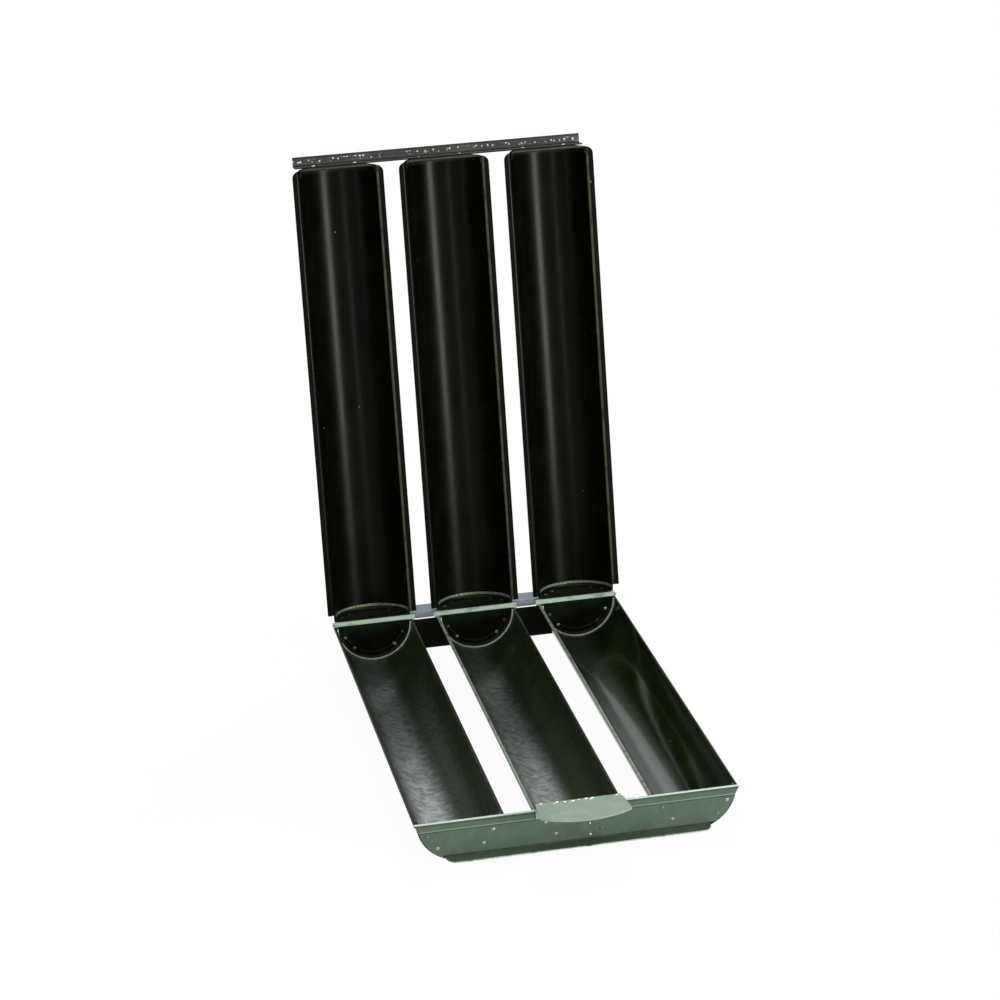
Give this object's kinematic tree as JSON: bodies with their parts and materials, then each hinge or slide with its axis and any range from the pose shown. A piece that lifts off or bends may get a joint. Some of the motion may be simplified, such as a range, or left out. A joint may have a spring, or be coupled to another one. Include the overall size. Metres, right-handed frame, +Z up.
{
  "type": "hinged baguette mould",
  "caption": "Hinged mould of coated sheet steel: half-round troughs side by side below, and matching troughs in a lid that stands open behind.",
  "frame": {"origin": "on the ground, under the middle of the lower half: midway between the hinge axis and the front plate's outer face, midway across", "axes": "+Z up, +X across the troughs, +Y towards the hinge, so -Y is towards the handle"},
  "size_m": [0.2568, 0.5235, 0.4257],
  "materials": {
    "trough_coating": "dark non-stick coating, satin",
    "cup_coating": "dark non-stick coating, satin",
    "plate_coating": "grey-green coating, satin",
    "hinge_plate_coating": "grey coating, rubbed bright on the knuckles",
    "handle_coating": "light grey coating, satin",
    "angle_coating": "grey coating over rough metal, satin",
    "pin_steel": "drawn wire, plain",
    "rivet_steel": "plain steel, slightly polished heads"
  },
  "bodies": {
    "base": {"base_front_plate": "plate_coating", "base_back_plate": "hinge_plate_coating", "handle": "handle_coating", "hinge_pin": "pin_steel", "base_trough_left": "trough_coating", "base_front_cup_left": "cup_coating", "base_back_cup_left": "cup_coating", "base_trough_middle": "trough_coating", "base_front_cup_middle": "cup_coating", "base_back_cup_middle": "cup_coating", "base_trough_right": "trough_coating", "base_front_cup_right": "cup_coating", "base_back_cup_right": "cup_coating", "base_front_rivets": "rivet_steel", "base_back_rivets": "rivet_steel", "handle_rivets": "rivet_steel"},
    "lid": {"lid_hinge_plate": "hinge_plate_coating", "lid_end_angle": "angle_coating", "lid_trough_left": "trough_coating", "lid_end_cup_left": "cup_coating", "lid_hinge_cup_left": "cup_coating", "lid_trough_middle": "trough_coating", "lid_end_cup_middle": "cup_coating", "lid_hinge_cup_middle": "cup_coating", "lid_trough_right": "trough_coating", "lid_end_cup_right": "cup_coating", "lid_hinge_cup_right": "cup_coating", "lid_hinge_rivets": "rivet_steel", "lid_end_rivets": "rivet_steel"}
  },
  "joints": [
    {"name": "lid_hinge", "type": "hinge", "parent": "base", "child": "lid", "pos_m": [0, 0.19925, 0.034], "axis": [1, 0, 0], "range_deg": [0, 98]}
  ]
}
